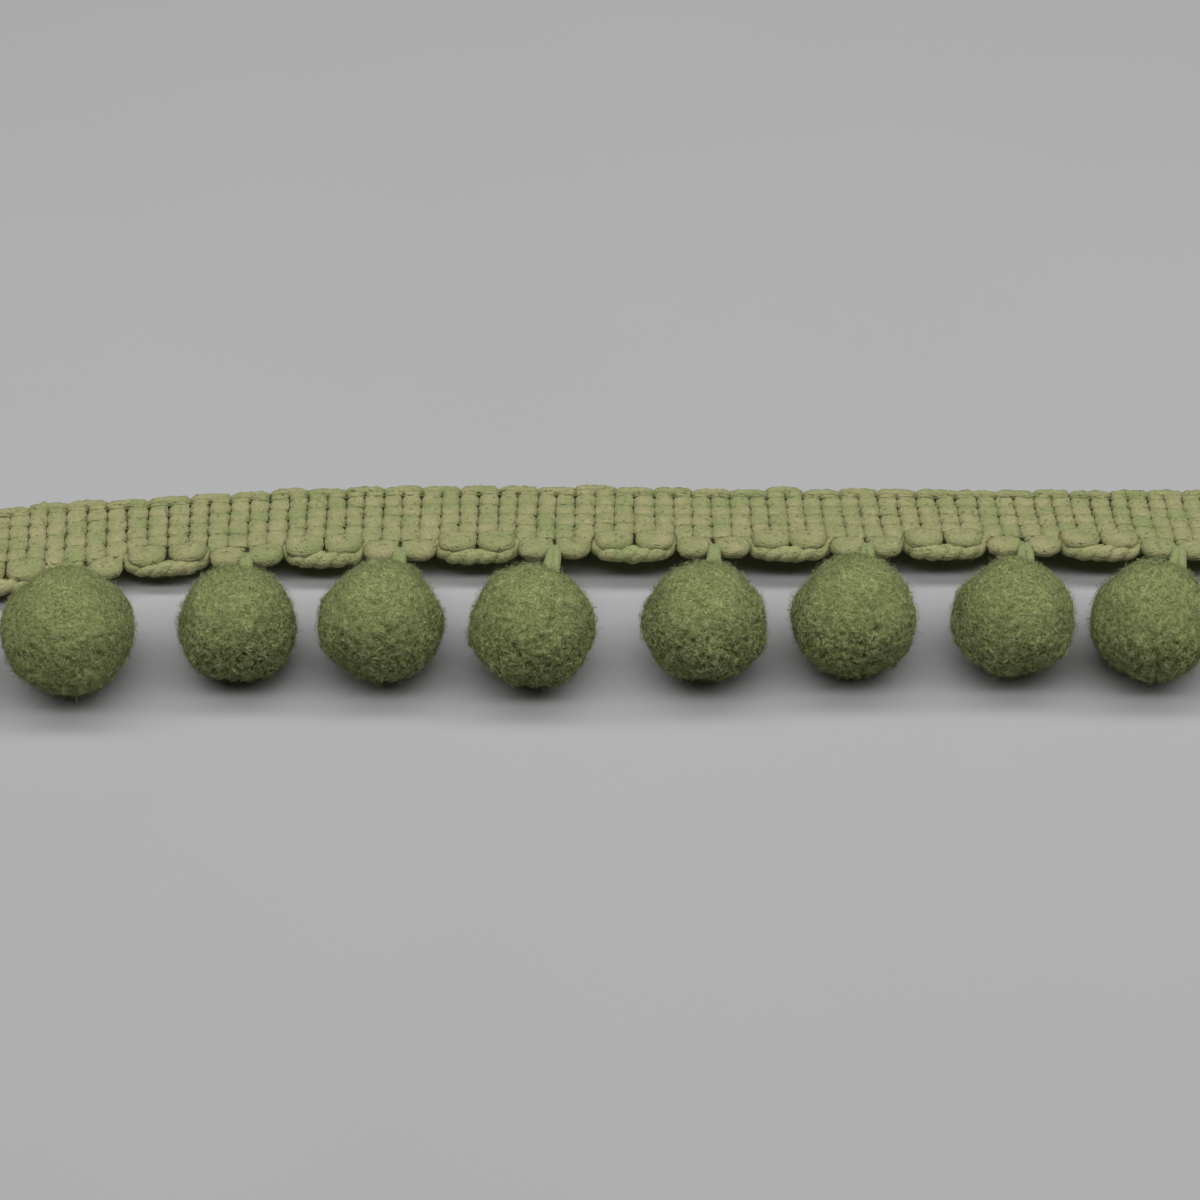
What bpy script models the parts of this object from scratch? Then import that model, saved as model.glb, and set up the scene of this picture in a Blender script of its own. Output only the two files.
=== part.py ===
"""Pompom fringe trim: a woven gimp header with ten pompoms on short hanger loops.

Metres. +X runs along the trim, +Y from the pompoms to the header, +Z up. The origin lies on the
surface that the trim rests on, below the middle of its bounding box. The upper edge of the header
rests flat on that surface, its lower edge is held up by the hanger loops, and each pompom stands
on a small flat spot.
"""

import math

import bmesh
import bpy
from mathutils import Matrix, Vector, noise

MM = 0.001

# Driving dimensions
REPEATS = 10                        # one pompom, hanger loop and scallop cord in each repeat
LOBES_PER_REPEAT = 4                # weft turns along the lower edge: two over the cord, two by the loop
COLUMNS_PER_LOBE = 4
HEADER_THICKNESS = 1.5 * MM
CORD_RADIUS = 0.6 * MM
LOOP_RADIUS_AT_HEADER = 0.33 * MM
LOOP_RADIUS_AT_POMPOM = 0.42 * MM
LEGS_APART_AT_HEADER = 0.3 * MM     # between the axes of a loop's two legs
LEGS_APART_AT_POMPOM = 1.1 * MM
SEAT_GAP = 0.35 * MM                # left between a loop's legs and its pompom
FLAT_SPOT_DEPTH = 0.3 * MM          # height taken off the underside of each pompom
LUMP_SIZE = 4.5 * MM                # of the shallow lumps all over a pompom
LUMP_HEIGHT = 0.18 * MM
NOISE_STEP = 7.3                    # shift of the lump pattern from one pompom to the next
CUT_END_COLUMNS = 2                 # half a lobe of header beyond the first and last repeats

# How the lower edge lies along the trim: x, then y and z of its mid surface, and y of the upper edge
EDGE_COLUMNS = ("x", "low_y", "low_z", "up_y")
EDGE_TABLE = (
    (-79.0, -2.9, 2.5, 9.4),
    (-57.4, -0.8, 2.6, 11.4),
    (-41.7, 1.3, 3.0, 12.75),
    (-26.7, 2.05, 3.5, 13.85),
    (-11.3, 2.3, 3.8, 14.3),
    (4.65, 2.15, 4.3, 14.1),
    (21.0, 2.3, 4.25, 13.85),
    (35.0, 2.6, 4.15, 13.85),
    (50.9, 2.45, 4.25, 13.75),
    (60.8, 1.95, 4.25, 13.5),
    (80.8, 1.25, 4.2, 13.2),
)

# Each repeat: x of its hanger loop at the header, then x, y and radius of its pompom
REPEAT_COLUMNS = ("loop_x", "pompom_x", "pompom_y", "pompom_radius")
REPEAT_TABLE = (
    (-65.85, -66.7, -9.2, 5.95),
    (-50.15, -50.35, -8.8, 6.30),
    (-34.15, -34.1, -7.4, 5.70),
    (-18.85, -20.1, -7.4, 6.05),
    (-3.45, -5.4, -8.0, 6.05),
    (12.55, 11.25, -7.55, 6.00),
    (27.85, 25.85, -6.85, 6.05),
    (43.65, 41.3, -6.85, 5.90),
    (58.85, 54.8, -7.25, 5.95),
    (74.35, 71.25, -7.4, 6.00),
)
MEAN_REPEAT = 15.47                 # millimetres, for the stretch beyond the first and last loops
LOOP_PLACE = 0.75                   # where in a repeat the hanger loop leaves the header
CORD_PLACE = 0.25                   # where in a repeat the scallop cord has its middle

# Reach of the lobes past the plain edge, and depth of the notches between them, in millimetres
LOW_REACH = {"over_cord": -2.2, "by_loop": 0.0}
LOW_NOTCH = {"cord_side": -3.4, "between_over_cord": -3.6, "at_loop": -2.3}
UP_REACH = (0.6, 0.3)
UP_NOTCH = 0.1
LOOP_TOP_PAST_EDGE = -0.65

LOBE_ROUNDNESS = 0.6                # 1 makes a lobe's outline a sine, less makes it squarer

# Rows of the header from the upper edge (0) to the lower edge (1); the first three lie flat
HEADER_ROWS = (0.0, 0.05, 0.1, 0.34, 0.6, 0.84, 1.0)
LAST_ROW_MARGIN = 0.07              # least share between the last two rows
FLAT_SHARE = 0.1
BEND_SHARE = 0.12

# Scallop cord, which hangs from notch to notch: x from its middle, distance past the lower edge, height over the mid surface
CORD_COLUMNS = ("along", "past_edge", "over")
CORD_TABLE = (
    (-3.45, -1.75, 0.0),
    (-3.25, -1.3, -0.1),
    (-2.75, -0.85, -0.15),
    (-2.0, -0.6, -0.15),
    (-1.0, -0.46, -0.15),
    (0.0, -0.42, -0.15),
    (1.0, -0.46, -0.15),
    (2.0, -0.6, -0.15),
    (2.75, -0.85, -0.15),
    (3.25, -1.3, -0.1),
    (3.45, -1.75, 0.0),
)

SHARP_ANGLE = math.radians(50)      # edges sharper than this stay sharp where pieces are shaded round

COLOURS = {
    "header": (0.30, 0.31, 0.14),
    "pompom": (0.20, 0.24, 0.09),
    "loop": (0.27, 0.30, 0.13),
    "cord": (0.29, 0.30, 0.13),
}


def column(table, names, name):
    place = names.index(name)
    return [row[place] for row in table]


def smooth_value(x, xs, values):
    """Value at x of the smooth curve through the table's rows (Catmull-Rom)."""
    last = len(xs) - 1
    i = max(0, min(last - 1, sum(1 for known in xs[1:] if known <= x)))
    share = (x - xs[i]) / (xs[i + 1] - xs[i])

    def slope(j):
        before, after = max(0, j - 1), min(last, j + 1)
        return (values[after] - values[before]) / (xs[after] - xs[before])

    span = xs[i + 1] - xs[i]
    cubed, squared = share ** 3, share ** 2
    return (
        (2 * cubed - 3 * squared + 1) * values[i]
        + (cubed - 2 * squared + share) * span * slope(i)
        + (3 * squared - 2 * cubed) * values[i + 1]
        + (cubed - squared) * span * slope(i + 1)
    )


def edge_at(x_mm):
    """The lower edge's y and z and the upper edge's y, in millimetres, at x."""
    xs = column(EDGE_TABLE, EDGE_COLUMNS, "x")
    return [smooth_value(x_mm, xs, column(EDGE_TABLE, EDGE_COLUMNS, name)) for name in EDGE_COLUMNS[1:]]


def x_along(place):
    """x in millimetres at a place counted in repeats, with loop number i at i + LOOP_PLACE."""
    loops = column(REPEAT_TABLE, REPEAT_COLUMNS, "loop_x")
    inner = place - LOOP_PLACE
    if inner <= 0:
        return loops[0] + inner * MEAN_REPEAT
    if inner >= REPEATS - 1:
        return loops[-1] + (inner - (REPEATS - 1)) * MEAN_REPEAT
    return smooth_value(inner, list(range(REPEATS)), loops)


def rise_share(share):
    """How much of the lower edge's lift is reached at a share of the header's width."""
    if share <= FLAT_SHARE:
        return 0.0
    sloped = share - FLAT_SHARE
    bend = min(sloped, BEND_SHARE)
    rise = 0.5 * bend * bend / BEND_SHARE + max(0.0, sloped - BEND_SHARE)
    return rise / (1.0 - FLAT_SHARE - 0.5 * BEND_SHARE)


def turn_at(x_mm):
    """Slope of the band's plan curve at x: the weft runs square to it."""
    reach = 0.5
    low_before, _, up_before = edge_at(x_mm - reach)
    low_after, _, up_after = edge_at(x_mm + reach)
    return (low_after - low_before + up_after - up_before) / 2 / (2 * reach)


def header_point(x_mm, share):
    """Point on the header's mid surface, on the weft line that meets the lower edge at x_mm.

    share runs from the upper edge (0) to the lower edge (1).
    """
    low_y, low_z, up_y = edge_at(x_mm)
    rest_z = HEADER_THICKNESS / MM / 2
    y = up_y + (low_y - up_y) * share
    z = rest_z + (low_z - rest_z) * rise_share(share)
    return Vector((x_mm - turn_at(x_mm) * (y - low_y), y, z)) * MM


def header_frame(x_mm, past_edge, over):
    """Point past the lower edge in the header's own slope, and over its mid surface (mm)."""
    edge = header_point(x_mm, 1.0)
    down = (edge - header_point(x_mm, HEADER_ROWS[-2])).normalized()
    along = (header_point(x_mm + 1.0, 1.0) - header_point(x_mm - 1.0, 1.0)).normalized()
    normal = down.cross(along).normalized()
    if normal.z < 0:
        normal.negate()
    return edge + down * (past_edge * MM) + normal * (over * MM)


def lobe_bulge(step):
    """Round outline of one lobe, 0 at the notch and 1 at the middle, by column in the lobe."""
    return math.sin(math.pi * step / COLUMNS_PER_LOBE) ** LOBE_ROUNDNESS


def low_edge_reach(number):
    """How far the lower edge reaches past the plain edge at a column, in millimetres."""
    lobe, step = divmod(number, COLUMNS_PER_LOBE)
    kind = lobe % LOBES_PER_REPEAT
    reach = LOW_REACH["over_cord"] if kind < 2 else LOW_REACH["by_loop"]
    notches = ("cord_side", "between_over_cord", "cord_side", "at_loop", "cord_side")
    left, right = LOW_NOTCH[notches[kind]], LOW_NOTCH[notches[kind + 1]]
    notch = left if step < COLUMNS_PER_LOBE / 2 else right
    return notch + (reach - notch) * lobe_bulge(step)


def up_edge_reach(number):
    lobe, step = divmod(number, COLUMNS_PER_LOBE)
    reach = UP_REACH[lobe % len(UP_REACH)]
    return UP_NOTCH + (reach - UP_NOTCH) * lobe_bulge(step)


def material(name):
    finish = bpy.data.materials.new(name)
    finish.use_nodes = True
    shader = finish.node_tree.nodes["Principled BSDF"]
    shader.inputs["Base Color"].default_value = (*COLOURS[name], 1.0)
    shader.inputs["Roughness"].default_value = 0.95
    shader.inputs["Metallic"].default_value = 0.0
    return finish


def add_object(name, data, collection, finish):
    thing = bpy.data.objects.new(name, data)
    collection.objects.link(thing)
    thing.data.materials.append(finish)
    return thing


def shade_round(mesh):
    mesh.shade_smooth()
    mesh.set_sharp_from_angle(angle=SHARP_ANGLE)


def build_header(collection, finish):
    """The band: an open grid with scalloped edges, thickened evenly to both sides."""
    columns_per_repeat = LOBES_PER_REPEAT * COLUMNS_PER_LOBE
    last = REPEATS * columns_per_repeat + CUT_END_COLUMNS
    rows = len(HEADER_ROWS)
    shape = bmesh.new()
    grid = []
    for number in range(-CUT_END_COLUMNS, last + 1):
        x_mm = x_along(number / columns_per_repeat)
        low_y, _, up_y = edge_at(x_mm)
        width = up_y - low_y
        top = -up_edge_reach(number) / width
        bottom = 1.0 + low_edge_reach(number) / width
        line = []
        for row, share in enumerate(HEADER_ROWS):
            if row == 0:
                share = top
            elif row == rows - 1:
                share = bottom
            elif row == rows - 2:
                share = min(share, bottom - LAST_ROW_MARGIN)
            line.append(shape.verts.new(header_point(x_mm, share)))
        grid.append(line)
    for left, right in zip(grid, grid[1:]):
        for row in range(rows - 1):
            shape.faces.new((left[row], left[row + 1], right[row + 1], right[row]))
    mesh = bpy.data.meshes.new("braid_header")
    shape.to_mesh(mesh)
    shape.free()
    header = add_object("braid_header", mesh, collection, finish)
    thicken = header.modifiers.new("thickness", "SOLIDIFY")
    thicken.thickness = HEADER_THICKNESS
    thicken.offset = 0.0
    shade_round(mesh)
    return header


def pompom_place(row):
    values = dict(zip(REPEAT_COLUMNS, row))
    radius = values["pompom_radius"] * MM
    return Vector((values["pompom_x"] * MM, values["pompom_y"] * MM, radius - FLAT_SPOT_DEPTH)), radius


def build_pompom(number, row, collection, finish):
    """A slightly lumpy ball with its underside pressed to a small flat spot."""
    centre, radius = pompom_place(row)
    shape = bmesh.new()
    bmesh.ops.create_uvsphere(shape, u_segments=16, v_segments=10, radius=radius)
    for vert in shape.verts:
        direction = vert.co.normalized()
        wander = noise.noise(direction * (radius / LUMP_SIZE) + Vector((number * NOISE_STEP, 0.0, 0.0)))
        vert.co = direction * (radius + wander * LUMP_HEIGHT)
        vert.co.z = max(vert.co.z, FLAT_SPOT_DEPTH - radius)
    mesh = bpy.data.meshes.new("pompom_%02d" % number)
    shape.to_mesh(mesh)
    shape.free()
    pompom = add_object(mesh.name, mesh, collection, finish)
    pompom.location = centre
    shade_round(mesh)
    return pompom


def build_leg(name, start, end, collection):
    """One tapered leg of a hanger loop, between two points."""
    shape = bmesh.new()
    bmesh.ops.create_cone(
        shape, cap_ends=True, segments=8, depth=(end - start).length,
        radius1=LOOP_RADIUS_AT_HEADER, radius2=LOOP_RADIUS_AT_POMPOM,
    )
    turn = (end - start).to_track_quat("Z", "Y").to_matrix().to_4x4()
    shape.transform(Matrix.Translation((start + end) / 2) @ turn)
    mesh = bpy.data.meshes.new(name)
    shape.to_mesh(mesh)
    shape.free()
    leg = bpy.data.objects.new(name, mesh)
    collection.objects.link(leg)
    return leg


def build_hanger_loop(number, row, collection, cutters, finish):
    """Two legs that leave one notch of the header and spread into the pompom."""
    values = dict(zip(REPEAT_COLUMNS, row))
    centre, radius = pompom_place(row)
    top = header_frame(values["loop_x"], LOOP_TOP_PAST_EDGE, 0.0)
    towards = (centre - top).normalized()
    sideways = towards.cross(Vector((0.0, 0.0, 1.0))).normalized()
    seat = centre - towards * (radius + SEAT_GAP)
    near = sideways * (LEGS_APART_AT_HEADER / 2)
    far = sideways * (LEGS_APART_AT_POMPOM / 2)
    name = "hanger_loop_%02d" % number
    loop = build_leg(name, top - near, seat - far, collection)
    loop.data.materials.append(finish)
    other = build_leg(name + "_second_leg", top + near, seat + far, cutters)
    other.hide_render = True
    other.display_type = "WIRE"
    joined = loop.modifiers.new("second_leg", "BOOLEAN")
    joined.operation = "UNION"
    joined.object = other
    return loop


def build_scallop_cord(number, collection, finish):
    """The cord that hangs in a shallow arc under two lobes, from the notch before them to the next."""
    middle = x_along(number - 1 + CORD_PLACE)
    curve = bpy.data.curves.new("scallop_cord_%02d" % number, "CURVE")
    curve.dimensions = "3D"
    curve.bevel_depth = CORD_RADIUS
    curve.bevel_resolution = 2
    curve.use_fill_caps = True
    spline = curve.splines.new("POLY")
    spline.points.add(len(CORD_TABLE) - 1)
    for point, (along, past_edge, over) in zip(spline.points, CORD_TABLE):
        point.co = (*header_frame(middle + along, past_edge, over), 1.0)
    return add_object(curve.name, curve, collection, finish)


def main():
    for thing in list(bpy.data.objects):
        bpy.data.objects.remove(thing, do_unlink=True)
    parts = bpy.data.collections.new("pompom_fringe_trim")
    cutters = bpy.data.collections.new("helpers")
    for collection in (parts, cutters):
        bpy.context.scene.collection.children.link(collection)
    finishes = {name: material(name) for name in COLOURS}

    build_header(parts, finishes["header"])
    for number, row in enumerate(REPEAT_TABLE, start=1):
        build_pompom(number, row, parts, finishes["pompom"])
        build_hanger_loop(number, row, parts, cutters, finishes["loop"])
        build_scallop_cord(number, parts, finishes["cord"])


main()
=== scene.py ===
"""Looks of the pompom fringe trim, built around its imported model.

Tables and shape functions are in millimetres, and meshes are scaled to metres as they are made.
+X runs along the trim, +Y from the pompoms to the header, +Z up. A place along the trim is counted
in repeats: hanger loop number n leaves the header at place n - 1 + LOOP_PLACE.
"""

import math

import bmesh
import bpy
import numpy as np
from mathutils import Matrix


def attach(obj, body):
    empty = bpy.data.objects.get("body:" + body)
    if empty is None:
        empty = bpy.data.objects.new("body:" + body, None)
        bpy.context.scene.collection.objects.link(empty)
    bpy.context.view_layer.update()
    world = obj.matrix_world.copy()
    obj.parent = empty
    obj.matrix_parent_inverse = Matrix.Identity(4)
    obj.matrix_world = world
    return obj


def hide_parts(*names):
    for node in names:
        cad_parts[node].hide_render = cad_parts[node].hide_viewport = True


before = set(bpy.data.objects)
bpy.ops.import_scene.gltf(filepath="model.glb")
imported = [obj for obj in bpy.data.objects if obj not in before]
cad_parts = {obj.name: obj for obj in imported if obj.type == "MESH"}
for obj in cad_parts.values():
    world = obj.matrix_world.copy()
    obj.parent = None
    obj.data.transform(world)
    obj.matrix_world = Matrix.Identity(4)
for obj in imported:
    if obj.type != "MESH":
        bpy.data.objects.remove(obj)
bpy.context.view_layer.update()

MM = 0.001
BODY = "root"

# ---- how the trim lies, in mm, as in the CAD

REPEATS = 10
MEAN_REPEAT = 15.47  # beyond the first and last loops
LOOP_PLACE = 0.75  # where in a repeat its hanger loop leaves the header
CORD_PLACE = 0.25  # and where its scallop cord has its middle
RIBS_PER_REPEAT = 8
RIBS = 82
FIRST_RIB_PLACE = -0.125
MID_HEIGHT = 0.75  # of the header's mid surface where flat
FLAT_SHARE = 0.1  # of the header's width that lies flat
BEND_SHARE = 0.12  # over which it then bends up
FLAT_SPOT_DEPTH = 0.3  # taken off the underside of each pompom
TURN_STEP = 0.5  # to each side, for the band's turn

# The header's lower edge along x, and its upper edge
EDGE_COLUMNS = ("x", "low_y", "low_z", "up_y")
EDGE_TABLE = (
    (-79.0, -2.9, 2.5, 9.4),
    (-57.4, -0.8, 2.6, 11.4),
    (-41.7, 1.3, 3.0, 12.75),
    (-26.7, 2.05, 3.5, 13.85),
    (-11.3, 2.3, 3.8, 14.3),
    (4.65, 2.15, 4.3, 14.1),
    (21.0, 2.3, 4.25, 13.85),
    (35.0, 2.6, 4.15, 13.85),
    (50.9, 2.45, 4.25, 13.75),
    (60.8, 1.95, 4.25, 13.5),
    (80.8, 1.25, 4.2, 13.2),
)

# Each repeat: its loop's x at the header, and its pompom's place, size, shape and pile; matted also sets
# how much painted shade the pits on its sides get
REPEAT_COLUMNS = (
    "loop_x", "pompom_x", "pompom_y", "radius", "drawn_out", "tucked_in", "legs_apart", "matted",
)
REPEAT_TABLE = (
    (-65.85, -66.7, -9.2, 5.95, 0.5, 0.3, 1.0, 1.0),
    (-50.15, -50.35, -8.8, 6.30, 0.5, 0.2, 1.0, 0.6),
    (-34.15, -34.1, -7.4, 5.70, 0.7, 0.4, 0.9, 1.5),
    (-18.85, -20.1, -7.4, 6.05, 1.6, 0.4, 1.0, 1.1),
    (-3.45, -5.4, -8.0, 6.05, 0.7, 0.3, 1.2, 1.2),
    (12.55, 11.25, -7.55, 6.00, 0.9, 0.7, 0.9, 1.5),
    (27.85, 25.85, -6.85, 6.05, 1.2, 0.5, 1.1, 1.45),
    (43.65, 41.3, -6.85, 5.90, 1.2, 0.5, 1.3, 1.1),
    (58.85, 54.8, -7.25, 5.95, 1.1, 0.3, 1.3, 0.9),
    (74.35, 71.25, -7.4, 6.00, 0.5, 0.3, 1.0, 1.0),
)

# Scallop cord: x from its middle, distance past the lower edge, height over the mid surface
CORD_COLUMNS = ("along", "past_edge", "over")
CORD_TABLE = (
    (-3.45, -1.75, 0.0),
    (-3.25, -1.3, -0.1),
    (-2.75, -0.85, -0.15),
    (-2.0, -0.6, -0.15),
    (-1.0, -0.46, -0.15),
    (0.0, -0.42, -0.15),
    (1.0, -0.46, -0.15),
    (2.0, -0.6, -0.15),
    (2.75, -0.85, -0.15),
    (3.25, -1.3, -0.1),
    (3.45, -1.75, 0.0),
)

EDGE = dict(zip(EDGE_COLUMNS, np.array(EDGE_TABLE).T))
REPEAT = dict(zip(REPEAT_COLUMNS, np.array(REPEAT_TABLE).T))
CORD = dict(zip(CORD_COLUMNS, np.array(CORD_TABLE).T))


def smooth_curve(x, xs, values):
    """Values at x of the smooth curve through the table's rows (Catmull-Rom)."""
    i = np.clip(np.searchsorted(xs, x, "right") - 1, 0, len(xs) - 2)
    slopes = np.empty(len(xs))
    slopes[1:-1] = (values[2:] - values[:-2]) / (xs[2:] - xs[:-2])
    slopes[0] = (values[1] - values[0]) / (xs[1] - xs[0])
    slopes[-1] = (values[-1] - values[-2]) / (xs[-1] - xs[-2])
    span = xs[i + 1] - xs[i]
    share = (x - xs[i]) / span
    squared, cubed = share ** 2, share ** 3
    return (
        (2 * cubed - 3 * squared + 1) * values[i]
        + (cubed - 2 * squared + share) * span * slopes[i]
        + (3 * squared - 2 * cubed) * values[i + 1]
        + (cubed - squared) * span * slopes[i + 1]
    )


def x_along(place):
    """x at places counted in repeats, evenly spaced beyond the first and last loops."""
    inner = np.asarray(place, float) - LOOP_PLACE
    held = np.clip(inner, 0, REPEATS - 1)
    return smooth_curve(held, np.arange(REPEATS), REPEAT["loop_x"]) + (inner - held) * MEAN_REPEAT


def edge_at(x):
    """The lower edge's y and z and the upper edge's y at x."""
    return [smooth_curve(x, EDGE["x"], EDGE[name]) for name in EDGE_COLUMNS[1:]]


def rise(share):
    """Share of the lower edge's lift reached at a share of the width, and its slope."""
    sloped = np.maximum(0.0, share - FLAT_SHARE)
    bend = np.minimum(sloped, BEND_SHARE)
    whole = 1.0 - FLAT_SHARE - BEND_SHARE / 2
    return (0.5 * bend ** 2 / BEND_SHARE + sloped - bend) / whole, bend / BEND_SHARE / whole


def band_width(x):
    """Width of the band along its slope, from the plain upper edge to the lower one."""
    low_y, low_z, up_y = edge_at(x)
    flat = FLAT_SHARE + BEND_SHARE / 2
    return np.hypot((up_y - low_y) * (1 - flat), low_z - MID_HEIGHT) + (up_y - low_y) * flat


def band_turn(x):
    """Slope of the band's plan curve: the ribs run square to it."""
    low_before, _, up_before = edge_at(x - TURN_STEP)
    low_after, _, up_after = edge_at(x + TURN_STEP)
    return (low_after - low_before + up_after - up_before) / (4 * TURN_STEP)


def band_point(x, down, lift=0.0):
    """Points on the header, down mm from the upper edge on the weft line that meets the lower
    edge at x, and lift over the mid surface; and the surface's normals there."""
    x, down, lift = np.broadcast_arrays(*(np.asarray(value, float) for value in (x, down, lift)))
    low_y, low_z, up_y = edge_at(x)
    share = down / band_width(x)
    height, slope = rise(share)
    y = up_y + (low_y - up_y) * share
    z = MID_HEIGHT + (low_z - MID_HEIGHT) * height
    normal = unit(side_by_side(0.0, (low_z - MID_HEIGHT) * slope, up_y - low_y))
    point = side_by_side(x - band_turn(x) * (y - low_y), y, z) + normal * lift[..., None]
    return point, normal


# ---- shape helpers

NOISE_WAVES = 28
NOISE_RATES = (0.7, 1.4)  # shares of the mean one
SPINDLE_POINTS = 5
SPINDLE_FACES = ((0, 2, 1), (0, 3, 2), (0, 1, 3), (4, 1, 2), (4, 2, 3), (4, 3, 1))
NEARLY_UPRIGHT = 0.8  # z of a direction that is crossed with +X, not +Z
WEFT_LOWEST, FIBRE_LOWEST, BALL_LOWEST = 0.02, 0.01, 0.005  # mm over the floor


def unit(vectors):
    return vectors / np.linalg.norm(vectors, axis=-1, keepdims=True)


def side_by_side(*columns):
    """Columns of one table; single numbers are repeated."""
    return np.stack(np.broadcast_arrays(*columns), -1)


def bell(value, middle, reach):
    """1 at the middle, falling off smoothly to both sides."""
    return np.exp(-((value - middle) / reach) ** 2)


def smooth_step(value, start, end):
    """0 before start and 1 after end, with a smooth rise between them."""
    share = np.clip((value - start) / (end - start), 0, 1)
    return share ** 2 * (3 - 2 * share)


def wave_noise(points, size, seed):
    """Smooth noise of mean 0 and deviation 1, made of plane waves of about one size."""
    rng = np.random.default_rng(seed)
    directions = unit(rng.normal(size=(NOISE_WAVES, 3)))
    rates = rng.uniform(*NOISE_RATES, NOISE_WAVES) * 2 * math.pi / size
    phases = rng.uniform(0, 2 * math.pi, NOISE_WAVES)
    turns = points @ (directions * rates[:, None]).T + phases
    return np.sin(turns).sum(-1) * math.sqrt(2 / NOISE_WAVES)


def layered_noise(points, layers, number=0):
    """Sum of layers of noise, each with its height, its size and a seed that number adds to."""
    return sum(height * wave_noise(points, size, seed + number) for height, size, seed in layers)


def distances_along(route):
    """Distance of each point of a route from its start, measured along it."""
    return np.concatenate([[0], np.cumsum(np.linalg.norm(np.diff(route, axis=0), axis=1))])


def place_object(name, data):
    """New object of a mesh, light or camera, in the scene."""
    thing = bpy.data.objects.new(name, data)
    bpy.context.scene.collection.objects.link(thing)
    return thing


def mesh_object(name, points, faces, finish, corner_uv=None, lowest=FIBRE_LOWEST, **marks):
    """Object from points in mm, moved up where they lie too low, and a list of face arrays, with UV
    by face corner and marks, values for each point that the material reads."""
    points[:, 2] = np.maximum(points[:, 2], lowest)
    mesh = bpy.data.meshes.new(name)
    corners = np.concatenate([face.ravel() for face in faces])
    sides = np.concatenate([np.full(len(face), face.shape[1]) for face in faces])
    mesh.vertices.add(len(points))
    mesh.vertices.foreach_set("co", (points * MM).astype(np.float32).ravel())
    mesh.loops.add(len(corners))
    mesh.loops.foreach_set("vertex_index", corners.astype(np.int32))
    mesh.polygons.add(len(sides))
    mesh.polygons.foreach_set("loop_start", (np.cumsum(sides) - sides).astype(np.int32))
    if corner_uv is not None:
        layer = mesh.uv_layers.new(name="yarn")
        layer.data.foreach_set("uv", corner_uv.astype(np.float32).ravel())
    for mark, values in marks.items():
        layer = mesh.attributes.new(mark, "FLOAT", "POINT")
        layer.data.foreach_set("value", values.astype(np.float32))
    mesh.update(calc_edges=True)
    mesh.shade_smooth()
    mesh.materials.append(finish)
    return place_object(name, mesh)


def sweep(centres, normals, half_width, half_height, squareness, sides):
    """Closed tube along the centres: its points, its quads and caps, and the corners' UV in mm.

    squareness 1 gives an ellipse, less a squarer section. Sizes are per centre or single values.
    """
    count = len(centres)
    tangents = unit(np.gradient(centres, axis=0))
    across = unit(np.cross(tangents, normals))
    upward = np.cross(across, tangents)
    turn = 2 * math.pi * (np.arange(sides) + 0.5) / sides - math.pi / 2
    section = (half_width, half_height, squareness)
    wide, high, power = (np.broadcast_to(value, count)[:, None] for value in section)
    offset_across = wide * np.sign(np.cos(turn)) * np.abs(np.cos(turn)) ** power
    offset_up = high * np.sign(np.sin(turn)) * np.abs(np.sin(turn)) ** power
    rings = centres[:, None] + across[:, None] * offset_across[..., None]
    rings = rings + upward[:, None] * offset_up[..., None]
    points = np.concatenate([rings.reshape(-1, 3), centres[:1], centres[-1:]])

    ring, side = np.meshgrid(np.arange(count - 1), np.arange(sides), indexing="ij")
    after = (side + 1) % sides
    near, far = ring * sides, (ring + 1) * sides
    quads = side_by_side(near + side, near + after, far + after, far + side).reshape(-1, 4)
    place = np.arange(sides)
    first_cap = side_by_side(count * sides, (place + 1) % sides, place)
    last_ring = (count - 1) * sides
    last_cap = side_by_side(count * sides + 1, last_ring + place, last_ring + (place + 1) % sides)

    along = distances_along(centres)
    girth = 2 * math.pi * float(np.mean(wide + high)) / 2
    u = side_by_side(side, side + 1, side + 1, side).reshape(-1) / sides * girth
    v = along[side_by_side(ring, ring, ring + 1, ring + 1).reshape(-1)]
    cap_v = np.repeat(along[[0, -1]], 3 * sides)
    uv = np.concatenate([side_by_side(u, v), side_by_side(0.0, cap_v)])
    return points, [quads, np.concatenate([first_cap, last_cap])], uv


def join(parts):
    """Several (points, [quads, triangles], uv) sets as one set."""
    points, quads, triangles, quad_uv, triangle_uv, start = [], [], [], [], [], 0
    for part_points, (part_quads, part_triangles), uv in parts:
        points.append(part_points)
        quads.append(part_quads + start)
        triangles.append(part_triangles + start)
        quad_uv.append(uv[:part_quads.size])
        triangle_uv.append(uv[part_quads.size:])
        start += len(part_points)
    faces = [np.concatenate(quads), np.concatenate(triangles)]
    return np.concatenate(points), faces, np.concatenate(quad_uv + triangle_uv)


def spindles(first, middle, last, radius):
    """Fine fibres as closed spindles: two tips and a bent three-sided waist, six faces each."""
    lengthwise = unit(last - first)
    upright = np.abs(lengthwise[:, 2:]) >= NEARLY_UPRIGHT
    helper = np.where(upright, [1.0, 0.0, 0.0], [0.0, 0.0, 1.0])
    one = unit(np.cross(lengthwise, helper))
    two = np.cross(lengthwise, one)
    rings = [
        middle + radius[:, None] * (one * math.cos(turn) + two * math.sin(turn))
        for turn in (0.0, 2 * math.pi / 3, 4 * math.pi / 3)
    ]
    points = np.stack([first, *rings, last], 1).reshape(-1, 3)
    faces = np.arange(len(first))[:, None, None] * SPINDLE_POINTS + np.array(SPINDLE_FACES)
    return points, faces.reshape(-1, 3)


def finish_piece(piece, slot, *nodes):
    """Tells the frame what a piece rides on, and hides the CAD nodes that it stands for. Its finish,
    slot, is not used.
    """
    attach(piece, BODY)
    if nodes:
        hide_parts(*nodes)
    return piece


# ---- material helpers

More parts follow.
